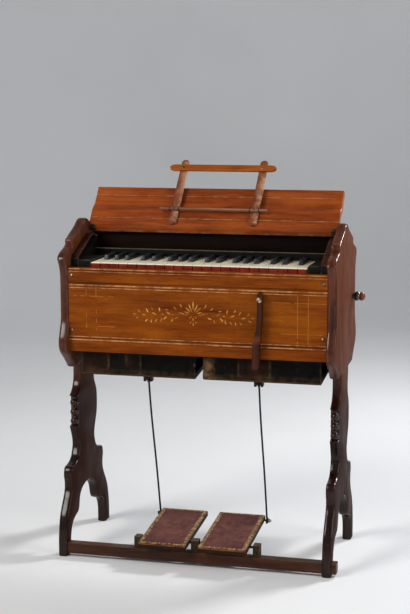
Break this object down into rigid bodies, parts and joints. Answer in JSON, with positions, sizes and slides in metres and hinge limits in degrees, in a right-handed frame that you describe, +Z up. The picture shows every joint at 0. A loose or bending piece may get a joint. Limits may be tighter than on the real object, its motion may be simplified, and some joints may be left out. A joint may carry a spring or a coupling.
{
  "type": "pump organ",
  "caption": "Small treadle-pumped reed organ with an open lid, folding music rack, working keyboard, knee lever, draw stop and wedge bellows between shaped end boards.",
  "frame": {"origin": "middle of the whole outline, on the floor", "axes": "+Z up, +Y to the back of the organ, -Y towards the player, +X to the player's right"},
  "size_m": [0.716, 0.3716, 0.968],
  "materials": {
    "end_wood": "dark stained walnut, worn varnish",
    "panel_wood": "warm brown varnished wood",
    "case_wood": "plain stained wood",
    "lid_wood": "red-brown varnished wood",
    "rack_wood": "red-brown varnished wood",
    "lever_wood": "dark stained wood, polished by use",
    "black_wood": "ebonised, half gloss",
    "action_wood": "bare softwood",
    "rail_wood": "dark stained wood, scuffed",
    "treadle": "wood covered in worn red carpet",
    "rod_iron": "blackened iron wire",
    "feeder_wood": "dusty brown wood",
    "feeder_leather": "old brown bellows leather",
    "screw_brass": "tarnished brass",
    "key_black": "ebony black, glossy",
    "key_cream": "cream key tops over red fronts"
  },
  "bodies": {
    "case": {"left_end_board": "end_wood", "right_end_board": "end_wood", "front_panel": "panel_wood", "case_boards": "case_wood", "keyboard_surround": "black_wood", "action_and_reeds": "action_wood", "pedal_rail": "rail_wood", "feeder_cloths": "feeder_leather", "case_fasteners": "screw_brass"},
    "lid": {"lid": "lid_wood"},
    "rack_upright_left": {"rack_upright_left": "rack_wood"},
    "rack_upright_right": {"rack_upright_right": "rack_wood"},
    "rack_top_bar": {"rack_top_bar": "rack_wood"},
    "knee_swell_lever": {"knee_swell_lever": "lever_wood"},
    "stop_knob": {"stop_knob": "lever_wood"},
    "pedal_left": {"pedal_left": "treadle"},
    "pedal_right": {"pedal_right": "treadle"},
    "pump_rod_left": {"pump_rod_left": "rod_iron"},
    "pump_rod_right": {"pump_rod_right": "rod_iron"},
    "feeder_left": {"feeder_left": "feeder_wood"},
    "feeder_right": {"feeder_right": "feeder_wood"},
    "key_01_f": {"key_01_f": "key_cream"},
    "key_02_f_sharp": {"key_02_f_sharp": "key_black"},
    "key_03_g": {"key_03_g": "key_cream"},
    "key_04_g_sharp": {"key_04_g_sharp": "key_black"},
    "key_05_a": {"key_05_a": "key_cream"},
    "key_06_a_sharp": {"key_06_a_sharp": "key_black"},
    "key_07_b": {"key_07_b": "key_cream"},
    "key_08_c": {"key_08_c": "key_cream"},
    "key_09_c_sharp": {"key_09_c_sharp": "key_black"},
    "key_10_d": {"key_10_d": "key_cream"},
    "key_11_d_sharp": {"key_11_d_sharp": "key_black"},
    "key_12_e": {"key_12_e": "key_cream"},
    "key_13_f": {"key_13_f": "key_cream"},
    "key_14_f_sharp": {"key_14_f_sharp": "key_black"},
    "key_15_g": {"key_15_g": "key_cream"},
    "key_16_g_sharp": {"key_16_g_sharp": "key_black"},
    "key_17_a": {"key_17_a": "key_cream"},
    "key_18_a_sharp": {"key_18_a_sharp": "key_black"},
    "key_19_b": {"key_19_b": "key_cream"},
    "key_20_c": {"key_20_c": "key_cream"},
    "key_21_c_sharp": {"key_21_c_sharp": "key_black"},
    "key_22_d": {"key_22_d": "key_cream"},
    "key_23_d_sharp": {"key_23_d_sharp": "key_black"},
    "key_24_e": {"key_24_e": "key_cream"},
    "key_25_f": {"key_25_f": "key_cream"},
    "key_26_f_sharp": {"key_26_f_sharp": "key_black"},
    "key_27_g": {"key_27_g": "key_cream"},
    "key_28_g_sharp": {"key_28_g_sharp": "key_black"},
    "key_29_a": {"key_29_a": "key_cream"},
    "key_30_a_sharp": {"key_30_a_sharp": "key_black"},
    "key_31_b": {"key_31_b": "key_cream"},
    "key_32_c": {"key_32_c": "key_cream"},
    "key_33_c_sharp": {"key_33_c_sharp": "key_black"},
    "key_34_d": {"key_34_d": "key_cream"},
    "key_35_d_sharp": {"key_35_d_sharp": "key_black"},
    "key_36_e": {"key_36_e": "key_cream"},
    "key_37_f": {"key_37_f": "key_cream"},
    "key_38_f_sharp": {"key_38_f_sharp": "key_black"},
    "key_39_g": {"key_39_g": "key_cream"}
  },
  "joints": [
    {"name": "lid_hinge", "type": "hinge", "parent": "case", "child": "lid", "pos_m": [-0.016, 0.05222, 0.812], "axis": [1, 0, 0], "range_deg": [-80, 0]},
    {"name": "rack_fold_left", "type": "hinge", "parent": "lid", "child": "rack_upright_left", "pos_m": [-0.1145, 0.06234, 0.84557], "axis": [0, 0.7761, -0.6306], "range_deg": [-1.5, 76]},
    {"name": "rack_fold_right", "type": "hinge", "parent": "lid", "child": "rack_upright_right", "pos_m": [0.0905, 0.06234, 0.84557], "axis": [0, 0.7761, -0.6306], "range_deg": [-1.5, 76]},
    {"name": "rack_bar_pivot", "type": "hinge", "parent": "rack_upright_left", "child": "rack_top_bar", "pos_m": [-0.11108, 0.13898, 0.94623], "axis": [0, 0.7761, -0.6306], "range_deg": [-76, 1.5]},
    {"name": "knee_lever_pivot", "type": "hinge", "parent": "case", "child": "knee_swell_lever", "pos_m": [0.146, -0.12578, 0.658], "axis": [0, -1, 0], "range_deg": [0, 12], "stiffness_Nm_per_rad": 1, "springref_deg": -8.59},
    {"name": "stop_draw", "type": "slide", "parent": "case", "child": "stop_knob", "axis": [1, 0, 0], "range_m": [0, 0.02]},
    {"name": "treadle_left", "type": "hinge", "parent": "case", "child": "pedal_left", "pos_m": [-0.1495, -0.14178, 0.056], "axis": [1, 0, 0], "range_deg": [-15, 0], "stiffness_Nm_per_rad": 3, "springref_deg": 28.65},
    {"name": "rod_eye_left", "type": "hinge", "parent": "pedal_left", "child": "pump_rod_left", "pos_m": [-0.1495, 0.03322, 0.07], "axis": [1, 0, 0], "range_deg": [0, 12.7]},
    {"name": "feeder_hinge_left", "type": "hinge", "parent": "case", "child": "feeder_left", "pos_m": [-0.1495, 0.14022, 0.497], "axis": [1, 0, 0], "range_deg": [0, 12.5], "deforming": ["feeder_cloths"]},
    {"name": "treadle_right", "type": "hinge", "parent": "case", "child": "pedal_right", "pos_m": [0.1295, -0.14178, 0.056], "axis": [1, 0, 0], "range_deg": [-15, 0], "stiffness_Nm_per_rad": 3, "springref_deg": 28.65},
    {"name": "rod_eye_right", "type": "hinge", "parent": "pedal_right", "child": "pump_rod_right", "pos_m": [0.1295, 0.03322, 0.07], "axis": [1, 0, 0], "range_deg": [0, 12.7]},
    {"name": "feeder_hinge_right", "type": "hinge", "parent": "case", "child": "feeder_right", "pos_m": [0.1295, 0.14022, 0.497], "axis": [1, 0, 0], "range_deg": [0, 12.5], "deforming": ["feeder_cloths"]},
    {"name": "key_01_f_pivot", "type": "hinge", "parent": "case", "child": "key_01_f", "pos_m": [-0.2723, 0.13822, 0.712], "axis": [1, 0, 0], "range_deg": [0, 2.15], "stiffness_Nm_per_rad": 2, "springref_deg": -5.73},
    {"name": "key_02_f_sharp_pivot", "type": "hinge", "parent": "case", "child": "key_02_f_sharp", "pos_m": [-0.26415, 0.13822, 0.712], "axis": [1, 0, 0], "range_deg": [0, 2.15], "stiffness_Nm_per_rad": 1.4, "springref_deg": -5.73},
    {"name": "key_03_g_pivot", "type": "hinge", "parent": "case", "child": "key_03_g", "pos_m": [-0.249, 0.13822, 0.712], "axis": [1, 0, 0], "range_deg": [0, 2.15], "stiffness_Nm_per_rad": 2, "springref_deg": -5.73},
    {"name": "key_04_g_sharp_pivot", "type": "hinge", "parent": "case", "child": "key_04_g_sharp", "pos_m": [-0.23735, 0.13822, 0.712], "axis": [1, 0, 0], "range_deg": [0, 2.15], "stiffness_Nm_per_rad": 1.4, "springref_deg": -5.73},
    {"name": "key_05_a_pivot", "type": "hinge", "parent": "case", "child": "key_05_a", "pos_m": [-0.2257, 0.13822, 0.712], "axis": [1, 0, 0], "range_deg": [0, 2.15], "stiffness_Nm_per_rad": 2, "springref_deg": -5.73},
    {"name": "key_06_a_sharp_pivot", "type": "hinge", "parent": "case", "child": "key_06_a_sharp", "pos_m": [-0.21055, 0.13822, 0.712], "axis": [1, 0, 0], "range_deg": [0, 2.15], "stiffness_Nm_per_rad": 1.4, "springref_deg": -5.73},
    {"name": "key_07_b_pivot", "type": "hinge", "parent": "case", "child": "key_07_b", "pos_m": [-0.2024, 0.13822, 0.712], "axis": [1, 0, 0], "range_deg": [0, 2.15], "stiffness_Nm_per_rad": 2, "springref_deg": -5.73},
    {"name": "key_08_c_pivot", "type": "hinge", "parent": "case", "child": "key_08_c", "pos_m": [-0.1791, 0.13822, 0.712], "axis": [1, 0, 0], "range_deg": [0, 2.15], "stiffness_Nm_per_rad": 2, "springref_deg": -5.73},
    {"name": "key_09_c_sharp_pivot", "type": "hinge", "parent": "case", "child": "key_09_c_sharp", "pos_m": [-0.17045, 0.13822, 0.712], "axis": [1, 0, 0], "range_deg": [0, 2.15], "stiffness_Nm_per_rad": 1.4, "springref_deg": -5.73},
    {"name": "key_10_d_pivot", "type": "hinge", "parent": "case", "child": "key_10_d", "pos_m": [-0.1558, 0.13822, 0.712], "axis": [1, 0, 0], "range_deg": [0, 2.15], "stiffness_Nm_per_rad": 2, "springref_deg": -5.73},
    {"name": "key_11_d_sharp_pivot", "type": "hinge", "parent": "case", "child": "key_11_d_sharp", "pos_m": [-0.14115, 0.13822, 0.712], "axis": [1, 0, 0], "range_deg": [0, 2.15], "stiffness_Nm_per_rad": 1.4, "springref_deg": -5.73},
    {"name": "key_12_e_pivot", "type": "hinge", "parent": "case", "child": "key_12_e", "pos_m": [-0.1325, 0.13822, 0.712], "axis": [1, 0, 0], "range_deg": [0, 2.15], "stiffness_Nm_per_rad": 2, "springref_deg": -5.73},
    {"name": "key_13_f_pivot", "type": "hinge", "parent": "case", "child": "key_13_f", "pos_m": [-0.1092, 0.13822, 0.712], "axis": [1, 0, 0], "range_deg": [0, 2.15], "stiffness_Nm_per_rad": 2, "springref_deg": -5.73},
    {"name": "key_14_f_sharp_pivot", "type": "hinge", "parent": "case", "child": "key_14_f_sharp", "pos_m": [-0.10105, 0.13822, 0.712], "axis": [1, 0, 0], "range_deg": [0, 2.15], "stiffness_Nm_per_rad": 1.4, "springref_deg": -5.73},
    {"name": "key_15_g_pivot", "type": "hinge", "parent": "case", "child": "key_15_g", "pos_m": [-0.0859, 0.13822, 0.712], "axis": [1, 0, 0], "range_deg": [0, 2.15], "stiffness_Nm_per_rad": 2, "springref_deg": -5.73},
    {"name": "key_16_g_sharp_pivot", "type": "hinge", "parent": "case", "child": "key_16_g_sharp", "pos_m": [-0.07425, 0.13822, 0.712], "axis": [1, 0, 0], "range_deg": [0, 2.15], "stiffness_Nm_per_rad": 1.4, "springref_deg": -5.73},
    {"name": "key_17_a_pivot", "type": "hinge", "parent": "case", "child": "key_17_a", "pos_m": [-0.0626, 0.13822, 0.712], "axis": [1, 0, 0], "range_deg": [0, 2.15], "stiffness_Nm_per_rad": 2, "springref_deg": -5.73},
    {"name": "key_18_a_sharp_pivot", "type": "hinge", "parent": "case", "child": "key_18_a_sharp", "pos_m": [-0.04745, 0.13822, 0.712], "axis": [1, 0, 0], "range_deg": [0, 2.15], "stiffness_Nm_per_rad": 1.4, "springref_deg": -5.73},
    {"name": "key_19_b_pivot", "type": "hinge", "parent": "case", "child": "key_19_b", "pos_m": [-0.0393, 0.13822, 0.712], "axis": [1, 0, 0], "range_deg": [0, 2.15], "stiffness_Nm_per_rad": 2, "springref_deg": -5.73},
    {"name": "key_20_c_pivot", "type": "hinge", "parent": "case", "child": "key_20_c", "pos_m": [-0.016, 0.13822, 0.712], "axis": [1, 0, 0], "range_deg": [0, 2.15], "stiffness_Nm_per_rad": 2, "springref_deg": -5.73},
    {"name": "key_21_c_sharp_pivot", "type": "hinge", "parent": "case", "child": "key_21_c_sharp", "pos_m": [-0.00735, 0.13822, 0.712], "axis": [1, 0, 0], "range_deg": [0, 2.15], "stiffness_Nm_per_rad": 1.4, "springref_deg": -5.73},
    {"name": "key_22_d_pivot", "type": "hinge", "parent": "case", "child": "key_22_d", "pos_m": [0.0073, 0.13822, 0.712], "axis": [1, 0, 0], "range_deg": [0, 2.15], "stiffness_Nm_per_rad": 2, "springref_deg": -5.73},
    {"name": "key_23_d_sharp_pivot", "type": "hinge", "parent": "case", "child": "key_23_d_sharp", "pos_m": [0.02195, 0.13822, 0.712], "axis": [1, 0, 0], "range_deg": [0, 2.15], "stiffness_Nm_per_rad": 1.4, "springref_deg": -5.73},
    {"name": "key_24_e_pivot", "type": "hinge", "parent": "case", "child": "key_24_e", "pos_m": [0.0306, 0.13822, 0.712], "axis": [1, 0, 0], "range_deg": [0, 2.15], "stiffness_Nm_per_rad": 2, "springref_deg": -5.73},
    {"name": "key_25_f_pivot", "type": "hinge", "parent": "case", "child": "key_25_f", "pos_m": [0.0539, 0.13822, 0.712], "axis": [1, 0, 0], "range_deg": [0, 2.15], "stiffness_Nm_per_rad": 2, "springref_deg": -5.73},
    {"name": "key_26_f_sharp_pivot", "type": "hinge", "parent": "case", "child": "key_26_f_sharp", "pos_m": [0.06205, 0.13822, 0.712], "axis": [1, 0, 0], "range_deg": [0, 2.15], "stiffness_Nm_per_rad": 1.4, "springref_deg": -5.73},
    {"name": "key_27_g_pivot", "type": "hinge", "parent": "case", "child": "key_27_g", "pos_m": [0.0772, 0.13822, 0.712], "axis": [1, 0, 0], "range_deg": [0, 2.15], "stiffness_Nm_per_rad": 2, "springref_deg": -5.73},
    {"name": "key_28_g_sharp_pivot", "type": "hinge", "parent": "case", "child": "key_28_g_sharp", "pos_m": [0.08885, 0.13822, 0.712], "axis": [1, 0, 0], "range_deg": [0, 2.15], "stiffness_Nm_per_rad": 1.4, "springref_deg": -5.73},
    {"name": "key_29_a_pivot", "type": "hinge", "parent": "case", "child": "key_29_a", "pos_m": [0.1005, 0.13822, 0.712], "axis": [1, 0, 0], "range_deg": [0, 2.15], "stiffness_Nm_per_rad": 2, "springref_deg": -5.73},
    {"name": "key_30_a_sharp_pivot", "type": "hinge", "parent": "case", "child": "key_30_a_sharp", "pos_m": [0.11565, 0.13822, 0.712], "axis": [1, 0, 0], "range_deg": [0, 2.15], "stiffness_Nm_per_rad": 1.4, "springref_deg": -5.73},
    {"name": "key_31_b_pivot", "type": "hinge", "parent": "case", "child": "key_31_b", "pos_m": [0.1238, 0.13822, 0.712], "axis": [1, 0, 0], "range_deg": [0, 2.15], "stiffness_Nm_per_rad": 2, "springref_deg": -5.73},
    {"name": "key_32_c_pivot", "type": "hinge", "parent": "case", "child": "key_32_c", "pos_m": [0.1471, 0.13822, 0.712], "axis": [1, 0, 0], "range_deg": [0, 2.15], "stiffness_Nm_per_rad": 2, "springref_deg": -5.73},
    {"name": "key_33_c_sharp_pivot", "type": "hinge", "parent": "case", "child": "key_33_c_sharp", "pos_m": [0.15575, 0.13822, 0.712], "axis": [1, 0, 0], "range_deg": [0, 2.15], "stiffness_Nm_per_rad": 1.4, "springref_deg": -5.73},
    {"name": "key_34_d_pivot", "type": "hinge", "parent": "case", "child": "key_34_d", "pos_m": [0.1704, 0.13822, 0.712], "axis": [1, 0, 0], "range_deg": [0, 2.15], "stiffness_Nm_per_rad": 2, "springref_deg": -5.73},
    {"name": "key_35_d_sharp_pivot", "type": "hinge", "parent": "case", "child": "key_35_d_sharp", "pos_m": [0.18505, 0.13822, 0.712], "axis": [1, 0, 0], "range_deg": [0, 2.15], "stiffness_Nm_per_rad": 1.4, "springref_deg": -5.73},
    {"name": "key_36_e_pivot", "type": "hinge", "parent": "case", "child": "key_36_e", "pos_m": [0.1937, 0.13822, 0.712], "axis": [1, 0, 0], "range_deg": [0, 2.15], "stiffness_Nm_per_rad": 2, "springref_deg": -5.73},
    {"name": "key_37_f_pivot", "type": "hinge", "parent": "case", "child": "key_37_f", "pos_m": [0.217, 0.13822, 0.712], "axis": [1, 0, 0], "range_deg": [0, 2.15], "stiffness_Nm_per_rad": 2, "springref_deg": -5.73},
    {"name": "key_38_f_sharp_pivot", "type": "hinge", "parent": "case", "child": "key_38_f_sharp", "pos_m": [0.22515, 0.13822, 0.712], "axis": [1, 0, 0], "range_deg": [0, 2.15], "stiffness_Nm_per_rad": 1.4, "springref_deg": -5.73},
    {"name": "key_39_g_pivot", "type": "hinge", "parent": "case", "child": "key_39_g", "pos_m": [0.2403, 0.13822, 0.712], "axis": [1, 0, 0], "range_deg": [0, 2.15], "stiffness_Nm_per_rad": 2, "springref_deg": -5.73}
  ],
  "couplings": [
    {"joint": "rack_fold_right", "follows": "rack_fold_left", "ratio": 1},
    {"joint": "rack_bar_pivot", "follows": "rack_fold_left", "ratio": -1},
    {"joint": "rod_eye_left", "follows": "treadle_left", "ratio": -0.84},
    {"joint": "feeder_hinge_left", "follows": "treadle_left", "ratio": -0.825},
    {"joint": "rod_eye_right", "follows": "treadle_right", "ratio": -0.84},
    {"joint": "feeder_hinge_right", "follows": "treadle_right", "ratio": -0.825}
  ]
}
